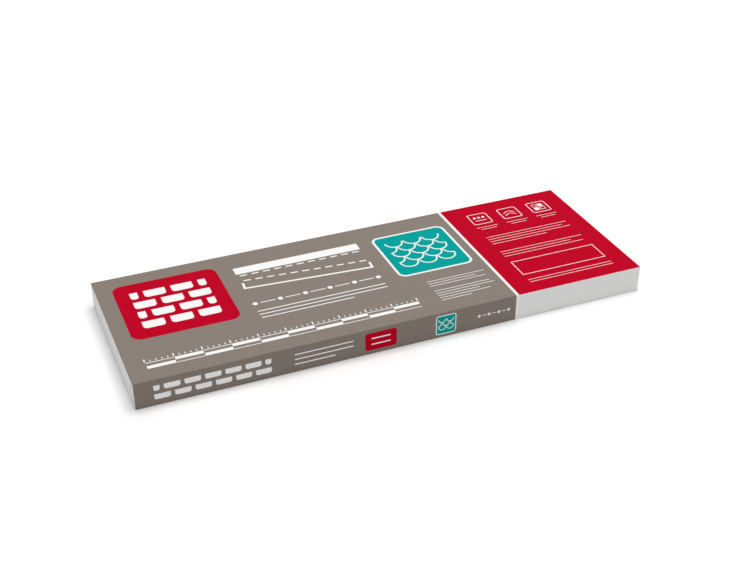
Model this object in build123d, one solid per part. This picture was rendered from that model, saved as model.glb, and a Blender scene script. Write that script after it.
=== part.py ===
from build123d import *
import os

# A bundle of asphalt starter shingles, closed in one sheet of printed kraft paper.
# X runs along the bundle, Y across it and Z up. The origin is the middle of its underside,
# and -Y is the long side that faces the reader of the print. All sizes are in millimetres.

# Starter sheet: flat, granule-surfaced, torn by hand into two strips of half its width
sheet_length = 965.2
sheet_width = 336.6
sheet_thickness = 2.7
sheet_count = 19

# Row of slits down the middle of each sheet, along which it tears
slit_length = 19.0
slit_width = 0.8
slit_pitch = 25.4

# Wrapping paper, folded round the stack and glued
paper_thickness = 0.25
fold_radius = 2.0
stack_clearance = 0.05
top_slack = 0.1

# Ends: side tucks lie innermost, the bottom flap over them and the top flap outermost
end_layers = 3
flap_overlap = 28.0

# Glued lap that runs along the underside
lap_width = 40.0
lap_edge_y = 60.0
lap_slope = 4.0

# The stack's sharp edges stay clear of the inside of the rounded folds
wrap_slack = fold_radius - paper_thickness + stack_clearance
stack_bottom = 2 * paper_thickness
stack_top = stack_bottom + sheet_count * sheet_thickness
bundle_height = stack_top + top_slack + paper_thickness
bundle_width = sheet_width + 2 * (wrap_slack + paper_thickness)
flap_depth = (bundle_height + flap_overlap) / 2


def end_plane(layers):
    """X of the outside of that many layers of paper, counted from the stack outwards."""
    return sheet_length / 2 + wrap_slack + layers * paper_thickness


bundle_length = 2 * end_plane(end_layers)


def along_bundle(outline, half_length=bundle_length):
    """Prism along X of an outline given as (Y, Z) points."""
    face = make_face(Polyline(*outline, close=True))
    return extrude(Plane.YZ * face, half_length, both=True)


def rounded_block(layers, inset=0.0):
    """Block that ends at a layer of the folded ends and lies inset from the wrap's other faces."""
    block = Box(2 * end_plane(layers), bundle_width - 2 * inset, bundle_height - 2 * inset)
    return Pos(0, 0, bundle_height / 2) * fillet(block.edges(), fold_radius - inset)


def end_flap(fold_z, inward):
    """Trapezoid of a flap: as wide as the bundle at its fold, with sides that close in at 45 degrees."""
    half_width = bundle_width / 2
    free_z = fold_z + inward * flap_depth
    return along_bundle(
        [
            (-half_width, fold_z),
            (half_width, fold_z),
            (half_width - flap_depth, free_z),
            (flap_depth - half_width, free_z),
        ]
    )


def between_tucks(from_z):
    """Space between the two side tucks, from a height up to the top of the bundle."""
    half_width = bundle_width / 2 - flap_depth
    return along_bundle(
        [
            (-half_width, from_z),
            (half_width, from_z),
            (half_width, bundle_height),
            (-half_width, bundle_height),
        ]
    )


def wrap_outside():
    """Wrap as a full block: side tucks at the ends, then the bottom flap, then the top flap."""
    tucks = rounded_block(end_layers - 2)
    bottom_flap = rounded_block(end_layers - 1) & end_flap(0, 1)
    top_flap = rounded_block(end_layers) & end_flap(bundle_height, -1)
    return tucks + bottom_flap + top_flap


def wrap_inside():
    """Hollow of the wrap, which reaches further out wherever a layer of the ends stops."""
    behind_tucks = rounded_block(0, paper_thickness)
    behind_bottom_flap = rounded_block(1, paper_thickness) & between_tucks(0)
    behind_top_flap = rounded_block(2, paper_thickness) & between_tucks(flap_depth)
    return behind_tucks + behind_bottom_flap + behind_top_flap


def lap_under_layer():
    """Second layer of paper, inside the lap on the underside."""
    return along_bundle(
        [
            (lap_edge_y - lap_width, paper_thickness),
            (lap_edge_y - lap_width, 2 * paper_thickness),
            (lap_edge_y, 2 * paper_thickness),
            (lap_edge_y + lap_slope, paper_thickness),
        ],
        end_plane(1),
    )


def lap_step():
    """Hollow beside the lap's outer edge, where the under layer rises behind it."""
    return along_bundle(
        [(lap_edge_y, 0), (lap_edge_y, paper_thickness), (lap_edge_y + lap_slope, 0)],
        end_plane(0) - fold_radius,
    )


def printed_wrap():
    """The sheet of paper, folded and glued into a closed wrap."""
    return wrap_outside() - wrap_inside() + lap_under_layer() - lap_step()


def starter_sheet():
    """One sheet with its row of slits, its underside on Z 0."""
    slit_count = int((sheet_length - slit_pitch + slit_length) / slit_pitch)
    slit = Box(slit_length, slit_width, 2 * sheet_thickness)
    row = GridLocations(slit_pitch, 0, slit_count, 1) * slit
    return Pos(0, 0, sheet_thickness / 2) * (Box(sheet_length, sheet_width, sheet_thickness) - row)


os.makedirs("parts", exist_ok=True)
export_step(printed_wrap(), "parts/printed_wrap.step")
sheet = starter_sheet()
for number in range(sheet_count):
    seat = Pos(0, 0, stack_bottom + number * sheet_thickness)
    export_step(seat * sheet, f"parts/starter_sheet_{number + 1:02d}.step")
print(f"bundle {bundle_length:.2f} x {bundle_width:.2f} x {bundle_height:.2f}")
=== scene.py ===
"""Looks of a paper-wrapped bundle of asphalt starter shingles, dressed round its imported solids.

The wrap and its print are drawn in millimetres and turned to metres when they are finished. X runs along
the bundle, Y across it and Z up, and the reader of the print stands on the -Y side.
"""

import logging
import math
from collections.abc import Callable, Mapping, Sequence
from dataclasses import dataclass, field
from enum import Enum
from typing import Protocol

import bmesh
import bpy
from mathutils import Matrix, Vector


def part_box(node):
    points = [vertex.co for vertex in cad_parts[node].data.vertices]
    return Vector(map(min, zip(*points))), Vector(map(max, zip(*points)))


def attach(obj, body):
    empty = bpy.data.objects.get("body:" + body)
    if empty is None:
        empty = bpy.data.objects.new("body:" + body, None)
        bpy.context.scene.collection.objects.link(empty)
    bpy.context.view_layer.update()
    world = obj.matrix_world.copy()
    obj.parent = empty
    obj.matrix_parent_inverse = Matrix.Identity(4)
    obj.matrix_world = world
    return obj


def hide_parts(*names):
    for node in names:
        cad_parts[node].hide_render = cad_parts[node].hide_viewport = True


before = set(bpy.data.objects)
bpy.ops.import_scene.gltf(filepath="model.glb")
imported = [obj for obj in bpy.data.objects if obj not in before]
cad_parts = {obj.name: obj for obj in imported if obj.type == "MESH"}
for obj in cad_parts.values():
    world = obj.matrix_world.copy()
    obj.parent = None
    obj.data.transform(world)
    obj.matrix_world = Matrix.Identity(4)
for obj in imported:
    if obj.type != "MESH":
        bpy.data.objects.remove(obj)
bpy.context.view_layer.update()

MM = 0.001
BODY = "root"
WRAP_NODE = "printed_wrap"

# The colour sockets of a Mix node by number, because its other sockets share their names
MIX_FACTOR = 0
MIX_A = 6
MIX_B = 7
MIX_RESULT = 2

UP = Vector((0, 0, 1))
ACROSS = Vector((0, 1, 0))
ALONG = Vector((1, 0, 0))

MERGE_MM = 1e-4  # points of a mesh that are nearer to each other are one point
SQUARE_ON = 0.9999  # a flat face's normal points at least this far along one axis

log = logging.getLogger("shingle_bundle")

Point = tuple[float, float]
Point3 = tuple[float, float, float]
Colour = tuple[float, float, float, float]


def linear(hex_colour: str) -> Colour:
    """Turns an sRGB colour into the linear one that shaders take.

    Args:
        hex_colour: The colour as six hex digits, such as "8D837A".

    Returns:
        Linear red, green and blue, and an alpha of 1.
    """
    # The numbers below are the sRGB standard's own
    parts = [int(hex_colour[start : start + 2], 16) / 255 for start in (0, 2, 4)]
    red, green, blue = (p / 12.92 if p <= 0.04045 else ((p + 0.055) / 1.055) ** 2.4 for p in parts)
    return red, green, blue, 1.0


def per_metre(size_mm: float) -> float:
    """Scale of a texture whose features are that many millimetres across."""
    return 1.0 / (size_mm * MM)


def add_node(
    tree: bpy.types.NodeTree,
    kind: str,
    inputs: Mapping[str | int, object] | None = None,
    **settings: object,
) -> bpy.types.Node:
    """Adds one node with its settings, values and links.

    Args:
        tree: The node tree to add to.
        kind: The node's Blender type.
        inputs: For each input's name or number, its value or the output socket that feeds it.
        **settings: Properties of the node itself.

    Returns:
        The new node.
    """
    node = tree.nodes.new(kind)
    for name, value in settings.items():
        setattr(node, name, value)
    for key, value in (inputs or {}).items():
        if isinstance(value, bpy.types.NodeSocket):
            tree.links.new(value, node.inputs[key])
        else:
            node.inputs[key].default_value = value
    return node


def new_material(name: str) -> tuple[bpy.types.Material, bpy.types.NodeTree]:
    """Makes a material without nodes.

    Args:
        name: The material's name.

    Returns:
        The material and its node tree.
    """
    material = bpy.data.materials.new(name)
    material.use_nodes = True
    material.node_tree.nodes.clear()
    return material, material.node_tree


@dataclass(frozen=True)
class PaperFinish:
    """Machine-glazed kraft paper, bare or under a flat coat of flexographic ink.

    The fibres settle in small clouds, which give the sheet a faintly uneven tone, and the press lays the
    ink a little thinner over them. The paper is uncoated, so the ink sinks in and hardly shines.
    """

    name: str
    colour: str
    thin_colour: str
    roughness: float
    specular: float
    cloud_mm: float = 7.0
    fibre_mm: float = 2.2  # real fibres are 0.03 mm wide, so they are drawn as coarse as shows
    fibre_stretch: float = 2.5  # fibres lie along the paper machine's run, which is the bundle's length
    fibre_relief_mm: float = 0.005
    cockle_mm: float = 130.0  # length of the slack waves of a sheet pulled over a stack
    cockle_relief_mm: float = 0.1
    roughness_spread: float = 0.05

    def material(self) -> bpy.types.Material:
        """Builds the paper's node material, once for all the pieces that have it.

        Returns:
            The material.
        """
        if self.name in bpy.data.materials:
            return bpy.data.materials[self.name]
        material, tree = new_material(self.name)
        place = add_node(tree, "ShaderNodeTexCoord").outputs["Object"]
        along = add_node(
            tree, "ShaderNodeMapping", {"Vector": place, "Scale": (1 / self.fibre_stretch, 1, 1)}
        ).outputs["Vector"]
        clouds = add_node(
            tree,
            "ShaderNodeTexNoise",
            {"Vector": place, "Scale": per_metre(self.cloud_mm), "Detail": 3.0, "Roughness": 0.6},
        ).outputs["Fac"]
        fibres = add_node(
            tree,
            "ShaderNodeTexNoise",
            {"Vector": along, "Scale": per_metre(self.fibre_mm), "Detail": 2.0, "Roughness": 0.7},
        ).outputs["Fac"]
        cockle = add_node(
            tree,
            "ShaderNodeTexNoise",
            {"Vector": along, "Scale": per_metre(self.cockle_mm), "Detail": 1.0},
        ).outputs["Fac"]
        thinness = add_node(
            tree, "ShaderNodeMapRange", {"Value": clouds, "From Min": 0.35, "From Max": 0.75}
        ).outputs["Result"]
        tone = add_node(
            tree,
            "ShaderNodeMix",
            {MIX_FACTOR: thinness, MIX_A: linear(self.colour), MIX_B: linear(self.thin_colour)},
            data_type="RGBA",
        ).outputs[MIX_RESULT]
        dullness = add_node(
            tree,
            "ShaderNodeMapRange",
            {
                "Value": fibres,
                "From Min": 0.3,
                "From Max": 0.7,
                "To Min": self.roughness - self.roughness_spread,
                "To Max": self.roughness + self.roughness_spread,
            },
        ).outputs["Result"]
        waves = add_node(
            tree,
            "ShaderNodeBump",
            {"Height": cockle, "Strength": 1.0, "Distance": self.cockle_relief_mm * MM},
        ).outputs["Normal"]
        tooth = add_node(
            tree,
            "ShaderNodeBump",
            {"Height": fibres, "Strength": 1.0, "Distance": self.fibre_relief_mm * MM, "Normal": waves},
        ).outputs["Normal"]
        shader = add_node(
            tree,
            "ShaderNodeBsdfPrincipled",
            {
                "Base Color": tone,
                "Roughness": dullness,
                "IOR": 1.5,
                "Specular IOR Level": self.specular,
                "Normal": tooth,
            },
        ).outputs["BSDF"]
        add_node(tree, "ShaderNodeOutputMaterial", {"Surface": shader})
        return material


@dataclass(frozen=True)
class GranuleFinish:
    """Asphalt sheet that crushed, ceramic-coated rock granules were rolled into while it was hot.

    Each granule has its own grey and stands out of a black, dull binder, so the sheet looks like coarse
    sand.
    """

    name: str = "granule_surfaced_asphalt"
    dark: str = "2A2928"
    light: str = "6B6660"
    granule_mm: float = 1.6  # sieved rock of 1 to 2 mm
    relief_mm: float = 0.45
    roughness: float = 0.88

    def material(self) -> bpy.types.Material:
        """Builds the granule surface's node material.

        Returns:
            The new material.
        """
        material, tree = new_material(self.name)
        place = add_node(tree, "ShaderNodeTexCoord").outputs["Object"]
        grains = add_node(
            tree, "ShaderNodeTexVoronoi", {"Vector": place, "Scale": per_metre(self.granule_mm)}
        ).outputs
        grey = add_node(tree, "ShaderNodeSeparateColor", {"Color": grains["Color"]}).outputs["Red"]
        tone = add_node(
            tree,
            "ShaderNodeMix",
            {MIX_FACTOR: grey, MIX_A: linear(self.dark), MIX_B: linear(self.light)},
            data_type="RGBA",
        ).outputs[MIX_RESULT]
        relief = add_node(
            tree,
            "ShaderNodeBump",
            {"Height": grains["Distance"], "Strength": 0.8, "Distance": self.relief_mm * MM},
            invert=True,
        ).outputs["Normal"]
        shader = add_node(
            tree,
            "ShaderNodeBsdfPrincipled",
            {"Base Color": tone, "Roughness": self.roughness, "IOR": 1.55, "Normal": relief},
        ).outputs["BSDF"]
        add_node(tree, "ShaderNodeOutputMaterial", {"Surface": shader})
        return material


# Unprinted bleached kraft, calendered on the machine: a soft off-white with next to no shine
BARE_PAPER = PaperFinish("bare_bleached_kraft", "F1F1F0", "EEEEED", roughness=0.65, specular=0.1)
# Water-based ink printed solid from a rubber plate: an even coat, as dull as the paper that drinks it
TAUPE_INK = PaperFinish("taupe_flexo_ink", "897E75", "8C8178", roughness=0.6, specular=0.06)
# The same, strongly pigmented: a deep red that no sheen greys
CRIMSON_INK = PaperFinish("crimson_flexo_ink", "BE0124", "C00327", roughness=0.6, specular=0.02)
# The same, strongly pigmented: a clear blue-green that no sheen greys
TEAL_INK = PaperFinish("teal_flexo_ink", "00A09B", "02A29E", roughness=0.6, specular=0.02)
# Opaque white, filled with titanium dioxide: whiter than the bare paper, and hides the colours under it
WHITE_INK = PaperFinish("white_flexo_ink", "FAFAF9", "F8F8F7", roughness=0.6, specular=0.06)


def finish_piece(bm: bmesh.types.BMesh, name: str, finishes: Sequence[PaperFinish]) -> bpy.types.Object:
    """Turns a mesh drawn in millimetres into a piece in metres, at the origin.

    Args:
        bm: The mesh, which is freed.
        name: The piece's name.
        finishes: Its finishes, in the order of its faces' material numbers.

    Returns:
        The new piece, which rides on the bundle's body.
    """
    bmesh.ops.scale(bm, vec=(MM, MM, MM), verts=bm.verts)
    mesh = bpy.data.meshes.new(name)
    bm.to_mesh(mesh)
    bm.free()
    for finish in finishes:
        mesh.materials.append(finish.material())
    piece = bpy.data.objects.new(name, mesh)
    bpy.context.scene.collection.objects.link(piece)
    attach(piece, BODY)
    return piece


class Side(Enum):
    """A face of the bundle that carries print."""

    TOP = "top"
    FRONT = "front"
    BACK = "back"


class Coat(Enum):
    """What covers a stretch of the wrap's outside: its value is the finish's number on the wrap."""

    BARE = 0
    TAUPE = 1
    CRIMSON = 2
    WHITE = 3


COAT_FINISHES = {
    Coat.BARE: BARE_PAPER,
    Coat.TAUPE: TAUPE_INK,
    Coat.CRIMSON: CRIMSON_INK,
    Coat.WHITE: WHITE_INK,
}


@dataclass
class PaperWrap:
    """The paper folded round the stack, with its end flaps, its glued lap and its ground colours.

    Sizes are in millimetres. The paper's printed faces lie a little inside the bundle's box, so that the
    inks end flush with it.
    """

    low: Vector
    high: Vector
    ink_room: float = 0.04  # between the paper's printed faces and the box
    paper: float = 0.25
    end_layers: int = 3  # tuck, bottom flap and top flap
    fold_radius: float = 1.4
    fold_steps: int = 6
    flap_overlap: float = 28.0  # of an end's top flap over its bottom flap
    lap_edge: float = 60.0  # how far behind the middle the underside's outer layer ends
    lap_slope: float = 4.0
    rule_centre: float = 709.6  # from the left end
    rule_width: float = 5.4
    bleed: float = 26.0  # how far the ground colour runs on under the bundle
    touch: float = 0.03  # how near its plane the middle of a flat face lies
    mesh: bmesh.types.BMesh = field(default_factory=bmesh.new)

    @property
    def half_length(self) -> float:
        """Half the bundle's length, out to its outermost flap."""
        return (self.high.x - self.low.x) / 2

    @property
    def half_width(self) -> float:
        """Half the width of the paper's face."""
        return (self.high.y - self.low.y) / 2 - self.ink_room

    @property
    def top(self) -> float:
        """Height of the paper's upper face."""
        return self.high.z - self.ink_room

    @property
    def flap_depth(self) -> float:
        """How far an end flap reaches from its fold."""
        return (self.high.z + self.flap_overlap) / 2

    def plate_place(self, side: Side) -> Matrix:
        """Where a plate meets the paper.

        Args:
            side: The printed face.

        Returns:
            The matrix that lays a plate on the face: its X to the reader's right, its Z out of the
            paper, and its origin at the face's lower left corner.
        """
        if side is Side.TOP:
            return Matrix.Translation((-self.half_length, -self.half_width, self.top))
        upright = Matrix.Rotation(math.pi / 2, 4, "X")
        front = Matrix.Translation((-self.half_length, -self.half_width, 0)) @ upright
        if side is Side.FRONT:
            return front
        return Matrix.Rotation(math.pi, 4, "Z") @ front

    def _add_block(self, layers: int, inset: float) -> None:
        """Adds a block with rounded edges.

        Args:
            layers: Which of the ends' layers of paper it ends at, counted from the stack outwards.
            inset: How far it lies inside the wrap's other faces.
        """
        length = 2 * (self.half_length - (self.end_layers - layers) * self.paper)
        made = bmesh.ops.create_cube(self.mesh, size=1.0)["verts"]
        size = (length, 2 * (self.half_width - inset), self.top - 2 * inset)
        bmesh.ops.scale(self.mesh, vec=size, verts=made)
        bmesh.ops.translate(self.mesh, vec=UP * self.top / 2, verts=made)
        bmesh.ops.bevel(
            self.mesh,
            geom=list({edge for vert in made for edge in vert.link_edges}),
            offset=self.fold_radius - inset,
            offset_type="OFFSET",
            segments=self.fold_steps,
            profile=0.5,
            affect="EDGES",
            material=-1,
        )

    def _faces(self, within: Callable[[Vector], bool]) -> list[bmesh.types.BMFace]:
        """The faces whose middle lies within a region."""
        return [face for face in self.mesh.faces if within(face.calc_center_median())]

    def _crease(self, point: Point3, across: Vector, within: Callable[[Vector], bool]) -> None:
        """Divides faces along a plane.

        Args:
            point: A point of the plane.
            across: The plane's normal.
            within: Tells by their middle which faces are divided.
        """
        faces = self._faces(within)
        geometry = [*faces, *{part for face in faces for part in (*face.edges, *face.verts)}]
        bmesh.ops.bisect_plane(self.mesh, geom=geometry, dist=MERGE_MM, plane_co=point, plane_no=across)

    def _raise(self, within: Callable[[Vector], bool], step: Vector) -> list[bmesh.types.BMVert]:
        """Lifts faces and walls in the step at their border.

        Args:
            within: Tells by their middle which faces are lifted.
            step: How far and which way.

        Returns:
            The lifted faces' vertices.
        """
        faces = self._faces(within)
        edges = {edge for face in faces for edge in face.edges}
        grown = bmesh.ops.extrude_face_region(self.mesh, geom=[*faces, *edges])["geom"]
        lifted = [part for part in grown if isinstance(part, bmesh.types.BMVert)]
        bmesh.ops.translate(self.mesh, vec=step, verts=lifted)
        return lifted

    def _at_end(self, middle: Vector, way: int) -> bool:
        """Whether a face lies at an end, past where its outermost folds start."""
        return middle.x * way > self.half_length - 2 * self.paper - self.fold_radius - self.touch

    def _in_flap(self, middle: Vector, way: int, depth: float) -> bool:
        """Whether a face that far from a flap's fold lies in it: its sides close in at 45 degrees."""
        within = abs(middle.y) < self.half_width - depth
        return self._at_end(middle, way) and depth < self.flap_depth and within

    def _in_top_flap(self, middle: Vector, way: int) -> bool:
        """Whether a face lies in an end's top flap."""
        return self._in_flap(middle, way, self.top - middle.z)

    def _in_either_flap(self, middle: Vector, way: int) -> bool:
        """Whether a face lies in an end's top or bottom flap."""
        return self._in_top_flap(middle, way) or self._in_flap(middle, way, middle.z)

    def _is_underside(self, middle: Vector) -> bool:
        """Whether a face is flat on the floor."""
        return middle.z < self.touch

    def _fold_end(self, way: int) -> None:
        """Folds one end: the side tucks lie innermost, then the bottom flap, then the top one.

        Args:
            way: 1 for the end at +X, -1 for the one at -X.
        """
        for fold_z, rise in ((self.top, -1), (0.0, 1)):
            free_edge = fold_z + rise * self.flap_depth
            self._crease((0, 0, free_edge), UP, lambda middle: self._at_end(middle, way))
            for hand in (-1, 1):
                corner = (0, hand * self.half_width, fold_z)
                diagonal = ACROSS * hand + UP * rise
                self._crease(corner, diagonal, lambda middle: self._at_end(middle, way))
        step = ALONG * way * self.paper
        self._raise(lambda middle: self._in_either_flap(middle, way), step)
        self._raise(lambda middle: self._in_top_flap(middle, way), step)

    def _step_lap(self) -> None:
        """Steps the underside where the lap's outer layer ends, and slopes it down again behind that."""
        slope_middle = self.lap_edge + self.lap_slope / 2
        for y in (self.lap_edge, self.lap_edge + self.lap_slope):
            self._crease((0, y, 0), ACROSS, self._is_underside)
        lifted = self._raise(
            lambda middle: self._is_underside(middle) and abs(middle.y - slope_middle) < self.touch,
            Vector(),
        )
        edge = [vert for vert in lifted if vert.co.y < slope_middle]
        bmesh.ops.translate(self.mesh, vec=UP * self.paper, verts=edge)
        bmesh.ops.remove_doubles(self.mesh, verts=self.mesh.verts, dist=MERGE_MM)

    def _divide_coats(self) -> None:
        """Divides the faces where one ground colour meets another."""
        rule = self.rule_centre - self.half_length
        for x in (rule - self.rule_width / 2, rule + self.rule_width / 2):
            self._crease((x, 0, 0), ALONG, lambda middle: True)
        for hand in (-1, 1):
            self._crease((0, hand * (self.half_width - self.bleed), 0), ACROSS, self._is_underside)

    def _coat_of(self, face: bmesh.types.BMFace) -> Coat:
        """What covers a face: a fold is halved between the two sides that it joins.

        Args:
            face: A face of the wrap's outside.

        Returns:
            Its coat.
        """
        middle, facing = face.calc_center_median(), face.normal
        from_rule = middle.x + self.half_length - self.rule_centre
        if abs(facing.x) > max(abs(facing.y), abs(facing.z)):
            return Coat.BARE
        if -facing.z > abs(facing.y) and abs(middle.y) < self.half_width - self.bleed:
            return Coat.BARE
        if abs(from_rule) < self.rule_width / 2:
            return Coat.WHITE
        if from_rule < 0:
            return Coat.TAUPE
        return Coat.CRIMSON if facing.z > abs(facing.y) else Coat.BARE

    def build(self) -> bpy.types.Object:
        """Folds, laps and prints the wrap.

        Returns:
            The finished piece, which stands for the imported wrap.
        """
        self._add_block(layers=1, inset=0)
        for way in (-1, 1):
            self._fold_end(way)
        self._step_lap()
        self._divide_coats()
        self.mesh.normal_update()
        for face in self.mesh.faces:
            face.material_index = self._coat_of(face).value
            face.smooth = max(abs(part) for part in face.normal) < SQUARE_ON
        outside = set(self.mesh.faces)
        self._add_block(layers=0, inset=self.paper)
        hollow = [face for face in self.mesh.faces if face not in outside]
        bmesh.ops.reverse_faces(self.mesh, faces=hollow)
        piece = finish_piece(self.mesh, "paper_wrap", [COAT_FINISHES[coat] for coat in Coat])
        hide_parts(WRAP_NODE)
        return piece


def at(u: float, v: float, turn: float = 0.0) -> Matrix:
    """Place of a mark on a plate: its middle, and how far it is turned in degrees."""
    return Matrix.Translation((u, v, 0)) @ Matrix.Rotation(math.radians(turn), 4, "Z")


@dataclass
class InkPlate:
    """The marks that one ink leaves on one face, drawn flat in millimetres from its lower left corner.

    A mark's u is its distance to the reader's right, and its v its distance up.
    """

    corner_steps: int = 6
    round_steps: int = 40
    mesh: bmesh.types.BMesh = field(default_factory=bmesh.new)

    def _rectangle(self, place: Matrix, size: Point) -> list[bmesh.types.BMVert]:
        """Draws a rectangle.

        Args:
            place: Its place on the plate.
            size: Its width and height.

        Returns:
            Its four corners, of which the first two are its feet.
        """
        made = bmesh.ops.create_grid(self.mesh, x_segments=1, y_segments=1, size=0.5)["verts"]
        made.sort(key=lambda vert: vert.co.y)
        bmesh.ops.transform(self.mesh, matrix=place @ Matrix.Diagonal((*size, 1, 1)), verts=made)
        return made

    def _round(self, corners: Sequence[bmesh.types.BMVert], radius: float) -> bmesh.types.BMFace:
        """Rounds corners of a face.

        Args:
            corners: The corners.
            radius: Their radius, or 0 to leave them sharp.

        Returns:
            The face.
        """
        face = corners[0].link_faces[0]
        if radius <= 0:
            return face
        rounded = bmesh.ops.bevel(
            self.mesh,
            geom=list(corners),
            offset=radius,
            offset_type="OFFSET",
            segments=self.corner_steps,
            profile=0.5,
            affect="VERTICES",
            material=-1,
        )
        return rounded["verts"][0].link_faces[0]

    def _trim(self, faces: Sequence[bmesh.types.BMFace], place: Matrix) -> list[bmesh.types.BMFace]:
        """Cuts off what faces have above a line.

        Args:
            faces: The faces.
            place: The place of the line, which runs along its X.

        Returns:
            What is left of them.
        """
        parts = {part for face in faces for part in (*face.edges, *face.verts)}
        cut = bmesh.ops.bisect_plane(
            self.mesh,
            geom=[*faces, *parts],
            dist=MERGE_MM,
            plane_co=place.translation,
            plane_no=place.col[1].to_3d(),
            clear_outer=True,
        )
        return [part for part in cut["geom"] if isinstance(part, bmesh.types.BMFace) and part.is_valid]

    def panel(self, place: Matrix, size: Point, corner: float = 0.0) -> bmesh.types.BMFace:
        """Draws a rectangle with sharp or rounded corners, and returns its face."""
        return self._round(self._rectangle(place, size), corner)

    def tab(self, place: Matrix, size: Point, corner: float) -> bmesh.types.BMFace:
        """Draws a rectangle whose feet are rounded, as a shingle's tab is, and returns its face."""
        return self._round(self._rectangle(place, size)[:2], corner)

    def disc(self, place: Matrix, radius: float) -> bmesh.types.BMFace:
        """Draws a disc.

        Args:
            place: Its place on the plate.
            radius: Its radius.

        Returns:
            Its face.
        """
        made = bmesh.ops.create_circle(
            self.mesh, cap_ends=True, segments=self.round_steps, radius=radius, matrix=place
        )["verts"]
        return made[0].link_faces[0]

    def outline(self, face: bmesh.types.BMFace, stroke: float) -> list[bmesh.types.BMFace]:
        """Hollows a face out, so that only a border of it is left.

        Args:
            face: The face.
            stroke: The border's width.

        Returns:
            The border's faces.
        """
        border = bmesh.ops.inset_region(
            self.mesh, faces=[face], thickness=stroke, use_even_offset=True, use_boundary=True
        )["faces"]
        bmesh.ops.delete(self.mesh, geom=[face], context="FACES_ONLY")
        return border

    def bracket(self, place: Matrix, size: Point, stroke: float) -> None:
        """Draws three sides of a rectangle, open at the top.

        Args:
            place: Its place on the plate.
            size: Its width and height.
            stroke: The width of its sides.
        """
        width, height = size
        border = self.outline(self.panel(place @ at(0, stroke / 2), (width, height + stroke)), stroke)
        self._trim(border, place @ at(0, height / 2 - stroke / 4))

    def arc(self, place: Matrix, radius: float, stroke: float, quarter: int = 0) -> None:
        """Draws the lower half of a ring.

        Args:
            place: The place of its middle.
            radius: Its outer radius.
            stroke: Its width.
            quarter: -1 or 1 for its left or right quarter alone.
        """
        half = self._trim(self.outline(self.disc(place, radius), stroke), place)
        if quarter:
            self._trim(half, place @ at(0, 0, 90 * quarter))

    def press(self, onto: bmesh.types.BMesh, place: Matrix, height: float, depth: float) -> None:
        """Prints the plate: its marks become films that stand a little proud of the paper, rooted in it.

        Args:
            onto: The mesh that holds all the marks of this ink.
            place: The matrix from the plate to the bundle.
            height: How far the films stand out of the paper's face.
            depth: How far they reach into it.
        """
        bmesh.ops.remove_doubles(self.mesh, verts=self.mesh.verts, dist=MERGE_MM)
        bmesh.ops.translate(self.mesh, vec=UP * -depth, verts=self.mesh.verts)
        grown = bmesh.ops.extrude_face_region(self.mesh, geom=self.mesh.faces[:])["geom"]
        raised = [part for part in grown if isinstance(part, bmesh.types.BMVert)]
        bmesh.ops.translate(self.mesh, vec=UP * (height + depth), verts=raised)
        bmesh.ops.recalc_face_normals(self.mesh, faces=self.mesh.faces)
        bmesh.ops.transform(self.mesh, matrix=place, verts=self.mesh.verts)
        pressed = bpy.data.meshes.new("pressed")
        self.mesh.to_mesh(pressed)
        self.mesh.free()
        onto.from_mesh(pressed)
        bpy.data.meshes.remove(pressed)


class Ink(Enum):
    """An ink of the marks: its value is the name of the piece that holds them."""

    CRIMSON = "crimson_print"
    TEAL = "teal_print"
    WHITE = "white_print"


INK_FINISHES = {Ink.CRIMSON: CRIMSON_INK, Ink.TEAL: TEAL_INK, Ink.WHITE: WHITE_INK}

Plates = dict[Ink, InkPlate]


class Motif(Protocol):
    """Something printed on a face."""

    def draw(self, plates: Plates) -> None:
        """Draws the motif.

        Args:
            plates: The face's plates.
        """


@dataclass
class Plaque:
    """A coloured panel with rounded corners, with or without a white border."""

    ink: Ink
    centre: Point
    size: Point
    corner: float
    border: float = 0.0

    def draw(self, plates: Plates) -> None:
        """Draws the plaque, its colour reaching under half its border.

        Args:
            plates: The face's plates.
        """
        place, (width, height) = at(*self.centre), self.size
        colour = (width - self.border, height - self.border)
        plates[self.ink].panel(place, colour, self.corner - self.border / 2)
        if self.border:
            white = plates[Ink.WHITE]
            white.outline(white.panel(place, self.size, self.corner), self.border)


@dataclass
class TabCourses:
    """White shingle tabs laid in courses, each course half a tab across from the one below."""

    centre: Point
    size: Point
    courses: int
    tabs: int
    gap: float
    corner: float
    widest_corner: float = 0.45  # as a share of a cut tab's width

    def draw(self, plates: Plates) -> None:
        """Draws the tabs.

        Args:
            plates: The face's plates.
        """
        (u, v), (width, height) = self.centre, self.size
        tab = (width + self.gap) / self.tabs - self.gap
        rise = (height + self.gap) / self.courses - self.gap
        first, last = u - width / 2, u + width / 2
        for course in range(self.courses):
            odd = course % 2
            middle = v - height / 2 + rise / 2 + course * (rise + self.gap)
            for number in range(self.tabs + odd):
                start = first + (number - odd / 2) * (tab + self.gap)
                left, right = max(start, first), min(start + tab, last)
                corner = min(self.corner, (right - left) * self.widest_corner)
                plates[Ink.WHITE].tab(at((left + right) / 2, middle), (right - left, rise), corner)


@dataclass
class FishScales:
    """White half rings in rows that hang between each other, as scale-cut shingles do on a gable."""

    centre: Point
    radius: float
    columns: int
    rows: int
    stroke: float
    air: float = 0.4  # between one scale and the next, too little to see

    def draw(self, plates: Plates) -> None:
        """Draws the scales.

        Args:
            plates: The face's plates.
        """
        (u, v), pitch = self.centre, self.radius + self.air
        for row in range(self.rows):
            odd = row % 2
            height = v + (row - self.rows / 2 + 1) * pitch
            last = self.columns - 1 + odd
            for column in range(last + 1):
                across = u + (column - last / 2) * 2 * pitch
                quarter = (1 if column == 0 else -1 if column == last else 0) * odd
                plates[Ink.WHITE].arc(at(across, height), self.radius, self.stroke, quarter)


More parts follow.
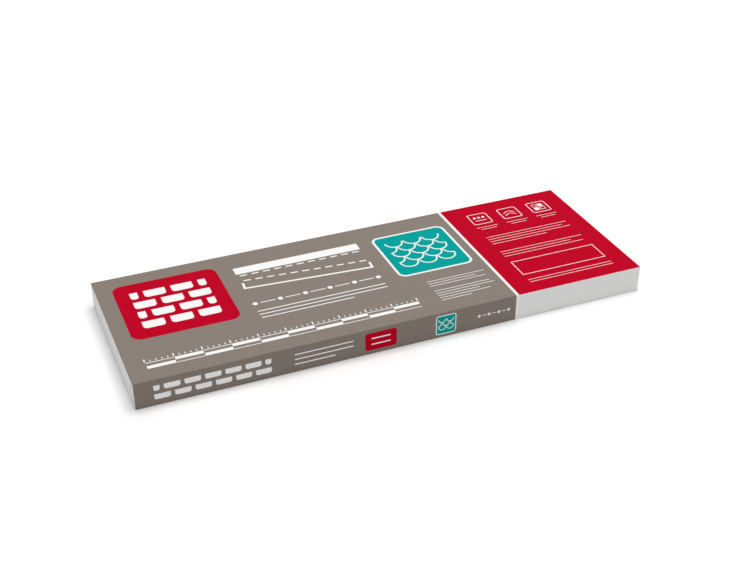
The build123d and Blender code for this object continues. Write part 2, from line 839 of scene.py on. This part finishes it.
@dataclass
class TornSheet:
    """A white sheet of shingles whose lower half, in outline, is being torn off along its slits."""

    centre: Point
    length: float
    strip: float
    gap: float
    stroke: float
    slit: float
    slit_pitch: float
    slit_stroke: float
    turn: float  # degrees

    def draw(self, plates: Plates) -> None:
        """Draws both halves, the torn one turned by a few degrees.

        Args:
            plates: The face's plates.
        """
        (u, v), white = self.centre, plates[Ink.WHITE]
        apart = (self.strip + self.gap) / 2
        body = (self.length, self.strip - self.stroke)
        kept, torn = at(u, v + apart, 180), at(u, v - apart, self.turn)
        white.panel(kept @ at(0, -self.stroke), body)
        white.bracket(torn @ at(0, -self.stroke), body, self.stroke)
        slits = int(self.length // self.slit_pitch)
        for strip in (kept, torn):
            for number in range(slits):
                along = (number - (slits - 1) / 2) * self.slit_pitch
                white.panel(strip @ at(along, self.strip / 2), (self.slit, self.slit_stroke))


@dataclass
class NailRow:
    """White nail heads joined by a thin line, as on a drawing that shows where the nails go."""

    start: Point
    count: int
    pitch: float
    radius: float
    stroke: float

    def draw(self, plates: Plates) -> None:
        """Draws the row.

        Args:
            plates: The face's plates.
        """
        (u, v), white = self.start, plates[Ink.WHITE]
        dash = self.pitch - 4 * self.radius  # it ends a radius short of the heads
        for number in range(self.count):
            white.disc(at(u + number * self.pitch, v), self.radius)
        for number in range(self.count - 1):
            white.panel(at(u + (number + 0.5) * self.pitch, v), (dash, self.stroke))


@dataclass
class ScaleBar:
    """A centimetre scale at true size: white blocks that change sides every 50 mm, and ticks above."""

    start: Point
    blocks: int
    block: float = 50.0
    depth: float = 9.0  # of a block, on its own side of the scale's middle line
    line: float = 1.6
    tick_pitch: float = 10.0
    tick: float = 5.0
    long_tick: float = 9.0
    long_line: float = 2.2
    air: float = 2.4  # between the blocks and the ticks

    def draw(self, plates: Plates) -> None:
        """Draws the scale.

        Args:
            plates: The face's plates.
        """
        (u, v), white = self.start, plates[Ink.WHITE]
        for number in range(self.blocks):
            middle = u + (number + 0.5) * self.block
            side = 1 if number % 2 else -1
            width = self.block - self.line / 2
            white.panel(at(middle, v + side * self.depth / 2), (width, self.depth - self.line / 2))
            white.panel(at(middle, v - side * (self.depth - self.line / 2)), (width, self.line))
        foot = v + self.depth + self.air
        for number in range(round(self.blocks * self.block / self.tick_pitch) + 1):
            long = number * self.tick_pitch % self.block == 0
            width, length = (self.long_line, self.long_tick) if long else (self.line, self.tick)
            white.panel(at(u + number * self.tick_pitch, foot + length / 2), (width, length))


@dataclass
class Rules:
    """A block of thin white rules of different lengths, one below the other."""

    start: Point
    lengths: Sequence[float]
    pitch: float
    stroke: float
    centred: bool = False

    def draw(self, plates: Plates) -> None:
        """Draws the rules.

        Args:
            plates: The face's plates.
        """
        u, v = self.start
        for number, length in enumerate(self.lengths):
            middle = u if self.centred else u + length / 2
            plates[Ink.WHITE].panel(at(middle, v - number * self.pitch), (length, self.stroke))


@dataclass
class EmptyBox:
    """A white frame with nothing in it, where a plant stamps its batch and date."""

    centre: Point
    size: Point
    stroke: float
    corner: float = 0.0

    def draw(self, plates: Plates) -> None:
        """Draws the frame.

        Args:
            plates: The face's plates.
        """
        white = plates[Ink.WHITE]
        white.outline(white.panel(at(*self.centre), self.size, self.corner), self.stroke)


class Sign(Enum):
    """What a pictogram shows."""

    NAILS = "nails"
    GABLE = "gable"
    SQUARES = "squares"


@dataclass
class Pictogram:
    """A small white sign in a frame with rounded corners, over a caption of two short rules."""

    sign: Sign
    centre: Point
    size: float = 42.0
    stroke: float = 1.7
    caption_pitch: float = 8.0
    caption_stroke: float = 1.1

    def _draw_nails(self, white: InkPlate, place: Matrix, cell: float) -> None:
        """Draws three nail heads over a line.

        Args:
            white: The white plate.
            place: The sign's place on it.
            cell: An eighth of the frame's size.
        """
        spacing, head, ground = 1.8 * cell, 0.6 * cell, 4.6 * cell
        for column in (-1, 0, 1):
            white.disc(place @ at(column * spacing, cell), head)
        white.panel(place @ at(0, -1.2 * cell), (ground, self.stroke))

    def _draw_gable(self, white: InkPlate, place: Matrix, cell: float) -> None:
        """Draws two pairs of slopes, one over the other.

        Args:
            white: The white plate.
            place: The sign's place on it.
            cell: An eighth of the frame's size.
        """
        pitch, length, rise = 32, 2.5 * cell, 0.9 * cell
        for hand in (-1, 1):
            for height in (-rise, rise):
                slope = place @ at(hand * length / 2, height, -hand * pitch)
                white.panel(slope, (length, self.stroke))

    def _draw_squares(self, white: InkPlate, place: Matrix, cell: float) -> None:
        """Draws four squares, full and hollow ones in turn.

        Args:
            white: The white plate.
            place: The sign's place on it.
            cell: An eighth of the frame's size.
        """
        spacing, width, stroke = 1.25 * cell, 2 * cell, 0.7 * self.stroke
        for column in (-1, 1):
            for row in (-1, 1):
                square = white.panel(place @ at(column * spacing, row * spacing), (width, width))
                if column != row:
                    white.outline(square, stroke)

    def draw(self, plates: Plates) -> None:
        """Draws the frame, the sign and the caption.

        Args:
            plates: The face's plates.
        """
        (u, v), cell = self.centre, self.size / 8
        EmptyBox(self.centre, (self.size, self.size), self.stroke, corner=cell).draw(plates)
        draw_sign = {
            Sign.NAILS: self._draw_nails,
            Sign.GABLE: self._draw_gable,
            Sign.SQUARES: self._draw_squares,
        }[self.sign]
        draw_sign(plates[Ink.WHITE], at(u, v), cell)
        first, lengths = v - 6.4 * cell, (8.8 * cell, 6.4 * cell)
        Rules((u, first), lengths, self.caption_pitch, self.caption_stroke, centred=True).draw(plates)


@dataclass
class WrapPrint:
    """The marks on the wrap, in white, crimson and teal, on its top and both long sides."""

    wrap: PaperWrap
    side_middle: float = 26.0  # height of the middle line of the long sides' print
    sign_row: float = 284.0
    sign_columns: Sequence[float] = (775.0, 842.0, 909.0)

    def _top(self) -> list[Motif]:
        """Lays out the top.

        Returns:
            Its motifs, first those on the taupe and then those on its crimson end.
        """
        tab_panel = (128, 214)
        scale_plaque = (614, 214)
        signs = [
            Pictogram(sign, centre=(column, self.sign_row))
            for sign, column in zip(Sign, self.sign_columns, strict=True)
        ]
        return [
            Plaque(Ink.CRIMSON, centre=tab_panel, size=(196, 184), corner=18),
            TabCourses(centre=tab_panel, size=(142, 122), courses=4, tabs=3, gap=11, corner=7),
            TornSheet(
                centre=(382, 244),
                length=250,
                strip=27,
                gap=28,
                stroke=4.4,
                slit=14,
                slit_pitch=22.5,
                slit_stroke=3.4,
                turn=-4.5,
            ),
            NailRow(start=(260, 156), count=6, pitch=48, radius=4.8, stroke=2.2),
            Rules(start=(257, 130), lengths=(246, 246, 176), pitch=11, stroke=2.4),
            ScaleBar(start=(34, 42), blocks=10),
            Rules(start=(575, 104), lengths=(118, 96, 112), pitch=8, stroke=1.4),
            Rules(start=(575, 70), lengths=(112, 118, 84, 102, 60), pitch=8, stroke=1.4),
            Plaque(Ink.TEAL, centre=scale_plaque, size=(154, 154), corner=16, border=4.5),
            FishScales(centre=scale_plaque, radius=19, columns=3, rows=5, stroke=3),
            *signs,
            Rules(start=(752, 210), lengths=(178, 164, 178, 120), pitch=9, stroke=1.1),
            Rules(start=(752, 150), lengths=(178, 150, 172), pitch=9, stroke=1.1),
            EmptyBox(centre=(841, 84), size=(178, 50), stroke=1.5),
            Rules(start=(752, 40), lengths=(178, 178), pitch=8, stroke=1.1),
        ]

    def _front(self) -> list[Motif]:
        """Lays out the long side that faces the reader.

        Returns:
            Its motifs, from left to right.
        """
        middle = self.side_middle
        return [
            TabCourses(centre=(136, middle), size=(204, 28), courses=2, tabs=6, gap=7, corner=4),
            Rules(start=(280, middle + 10), lengths=(108, 108, 74), pitch=10, stroke=2.2),
            Plaque(Ink.CRIMSON, centre=(440, middle), size=(60, 36), corner=5),
            Rules(start=(440, middle + 6), lengths=(36, 36), pitch=12, stroke=2.4, centred=True),
            Plaque(Ink.TEAL, centre=(566, middle), size=(40, 40), corner=5, border=1.8),
            FishScales(centre=(566, middle), radius=7.4, columns=2, rows=3, stroke=1.5),
            NailRow(start=(632, middle), count=4, pitch=20, radius=3, stroke=1.4),
        ]

    def _back(self) -> list[Motif]:
        """Lays out the other long side, as its own reader sees it.

        Returns:
            Its motifs.
        """
        middle = self.side_middle
        return [
            TabCourses(centre=(834, middle), size=(204, 28), courses=2, tabs=6, gap=7, corner=4),
            NailRow(start=(420, middle), count=12, pitch=20, radius=3, stroke=1.4),
        ]

    def build(self) -> list[bpy.types.Object]:
        """Prints every face: colours one film thick, and white over them two films thick.

        Returns:
            A piece for each ink.
        """
        film = self.wrap.ink_room / 2
        pressed = {ink: bmesh.new() for ink in Ink}
        layout = {Side.TOP: self._top(), Side.FRONT: self._front(), Side.BACK: self._back()}
        for side, motifs in layout.items():
            plates = {ink: InkPlate() for ink in Ink}
            for motif in motifs:
                motif.draw(plates)
            for ink, plate in plates.items():
                height = 2 * film if ink is Ink.WHITE else film
                plate.press(pressed[ink], self.wrap.plate_place(side), height, depth=film)
        return [finish_piece(bm, ink.value, [INK_FINISHES[ink]]) for ink, bm in pressed.items()]


@dataclass
class Studio:
    """A white floor under a large round lamp, and the photograph's camera. Sizes are in metres."""

    footprint: Point  # half the length and width of what stands on the floor
    camera_place: Point3 = (-0.72536, -1.78204, 1.22837)
    azimuth: float = -22.14
    elevation: float = 31.83
    roll: float = -0.23
    lens: float = 59.11
    sensor: float = 36.0
    lamp_height: float = 8.0
    lamp_spread: float = 20.0  # degrees between straight up and the lamp's rim
    lamp_shift: Point = (1.2, 0.3)
    lamp_level: float = 0.64  # brightness of a white floor under the lamp alone
    sky_level: float = 0.385  # and under the sky alone
    floor_size: float = 14.0
    floor_colour: str = "F3F3F3"
    floor_glow: float = 1.0  # how much whiter the floor shows for each metre away from the bundle

    def _add_camera(self) -> None:
        """Sets up the camera."""
        camera = bpy.data.cameras.new("camera")
        camera.sensor_fit = "HORIZONTAL"
        camera.sensor_width = self.sensor
        camera.lens = self.lens
        stand = bpy.data.objects.new("camera", camera)
        stand.matrix_world = (
            Matrix.Translation(self.camera_place)
            @ Matrix.Rotation(math.radians(self.azimuth), 4, "Z")
            @ Matrix.Rotation(math.radians(90 - self.elevation), 4, "X")
            @ Matrix.Rotation(math.radians(self.roll), 4, "Z")
        )
        bpy.context.scene.collection.objects.link(stand)
        bpy.context.scene.camera = stand

    def _add_lamp(self) -> None:
        """Hangs the lamp, which shines straight down."""
        radius = self.lamp_height * math.tan(math.radians(self.lamp_spread))
        lamp = bpy.data.lights.new("overhead_lamp", "AREA")
        lamp.shape = "DISK"
        lamp.size = 2 * radius
        # The lamp fills this share of the sky above a point, weighed by how steeply it shines down
        share = math.sin(math.radians(self.lamp_spread)) ** 2
        lamp.energy = self.lamp_level / share * math.pi * (math.pi * radius**2)
        hung = bpy.data.objects.new("overhead_lamp", lamp)
        hung.location = (*self.lamp_shift, self.lamp_height)
        bpy.context.scene.collection.objects.link(hung)

    @staticmethod
    def _showing(tree: bpy.types.NodeTree) -> bpy.types.NodeSocket:
        """Adds nodes that tell the rays which show the surroundings from those that carry their light.

        Args:
            tree: The node tree to add to.

        Returns:
            A socket that is 1 for camera, glossy and transmission rays, and otherwise 0.
        """
        rays = add_node(tree, "ShaderNodeLightPath").outputs
        showing = rays["Is Camera Ray"]
        for ray in ("Is Glossy Ray", "Is Transmission Ray"):
            either = add_node(tree, "ShaderNodeMath", {0: showing, 1: rays[ray]}, operation="MAXIMUM")
            showing = either.outputs["Value"]
        return showing

    def _add_sky(self) -> None:
        """Sets the world: a weak even light, which shows as white."""
        world = bpy.data.worlds.new("studio_sky")
        world.use_nodes = True
        tree = world.node_tree
        tree.nodes.clear()
        level = add_node(
            tree,
            "ShaderNodeMapRange",
            {"Value": self._showing(tree), "To Min": self.sky_level, "To Max": 1.0},
        ).outputs["Result"]
        white = add_node(tree, "ShaderNodeBackground", {"Color": linear("FFFFFF"), "Strength": level})
        add_node(tree, "ShaderNodeOutputWorld", {"Surface": white.outputs["Background"]})
        bpy.context.scene.world = world

    def _floor_material(self) -> bpy.types.Material:
        """Makes the floor's material: matt white paper that glows where it shows, most in the distance.

        Returns:
            The new material.
        """
        material, tree = new_material("white_seamless_paper")
        showing = self._showing(tree)
        colour = add_node(
            tree,
            "ShaderNodeMix",
            {MIX_FACTOR: showing, MIX_A: linear(self.floor_colour), MIX_B: linear("FFFFFF")},
            data_type="RGBA",
        ).outputs[MIX_RESULT]
        matt = add_node(tree, "ShaderNodeBsdfDiffuse", {"Color": colour}).outputs["BSDF"]
        offset = add_node(tree, "ShaderNodeTexCoord").outputs["Object"]
        steps = (("ABSOLUTE", {}), ("SUBTRACT", {1: (*self.footprint, 0)}), ("MAXIMUM", {1: (0, 0, 0)}))
        for operation, operand in steps:
            moved = add_node(tree, "ShaderNodeVectorMath", {0: offset, **operand}, operation=operation)
            offset = moved.outputs["Vector"]
        distance = add_node(tree, "ShaderNodeVectorMath", {0: offset}, operation="LENGTH")
        lift = add_node(
            tree,
            "ShaderNodeMath",
            {0: distance.outputs["Value"], 1: self.floor_glow},
            operation="MULTIPLY",
            use_clamp=True,
        ).outputs["Value"]
        strength = add_node(
            tree, "ShaderNodeMath", {0: showing, 1: lift}, operation="MULTIPLY"
        ).outputs["Value"]
        glow = add_node(tree, "ShaderNodeEmission", {"Color": linear("FFFFFF"), "Strength": strength})
        both = add_node(tree, "ShaderNodeAddShader", {0: matt, 1: glow.outputs["Emission"]})
        add_node(tree, "ShaderNodeOutputMaterial", {"Surface": both.outputs["Shader"]})
        return material

    def _add_floor(self) -> None:
        """Lays the floor."""
        bm = bmesh.new()
        bmesh.ops.create_grid(bm, x_segments=1, y_segments=1, size=self.floor_size / 2)
        mesh = bpy.data.meshes.new("studio_floor")
        bm.to_mesh(mesh)
        bm.free()
        mesh.materials.append(self._floor_material())
        floor = bpy.data.objects.new("studio_floor", mesh)
        bpy.context.scene.collection.objects.link(floor)

    def build(self) -> None:
        """Sets up the camera, the light and the floor."""
        self._add_camera()
        self._add_lamp()
        self._add_sky()
        self._add_floor()
        bpy.context.scene.view_settings.view_transform = "Standard"


@dataclass
class SheetStack:
    """The slit shingle sheets inside the wrap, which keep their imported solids."""

    prefix: str = "starter_sheet_"
    finish: GranuleFinish = GranuleFinish()

    def dress(self) -> list[bpy.types.Object]:
        """Gives the sheets their granules.

        Returns:
            The sheets, from the bottom up.
        """
        granules = self.finish.material()
        names = sorted(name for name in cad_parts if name.startswith(self.prefix))
        sheets = [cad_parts[name] for name in names]
        for sheet in sheets:
            sheet.data.materials.clear()
            sheet.data.materials.append(granules)
        return sheets


def main() -> None:
    """Sets up the studio, and builds, dresses and reports the bundle's pieces in order."""
    logging.basicConfig(level=logging.INFO, format="%(name)s: %(message)s")
    low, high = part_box(WRAP_NODE)
    Studio(footprint=(high.x, high.y)).build()
    wrap = PaperWrap(low / MM, high / MM)
    for piece in (wrap.build(), *WrapPrint(wrap).build(), *SheetStack().dress()):
        finishes = ", ".join(material.name for material in piece.data.materials)
        log.info("%s: %d faces, %s", piece.name, len(piece.data.polygons), finishes)


if __name__ == "__main__":
    main()
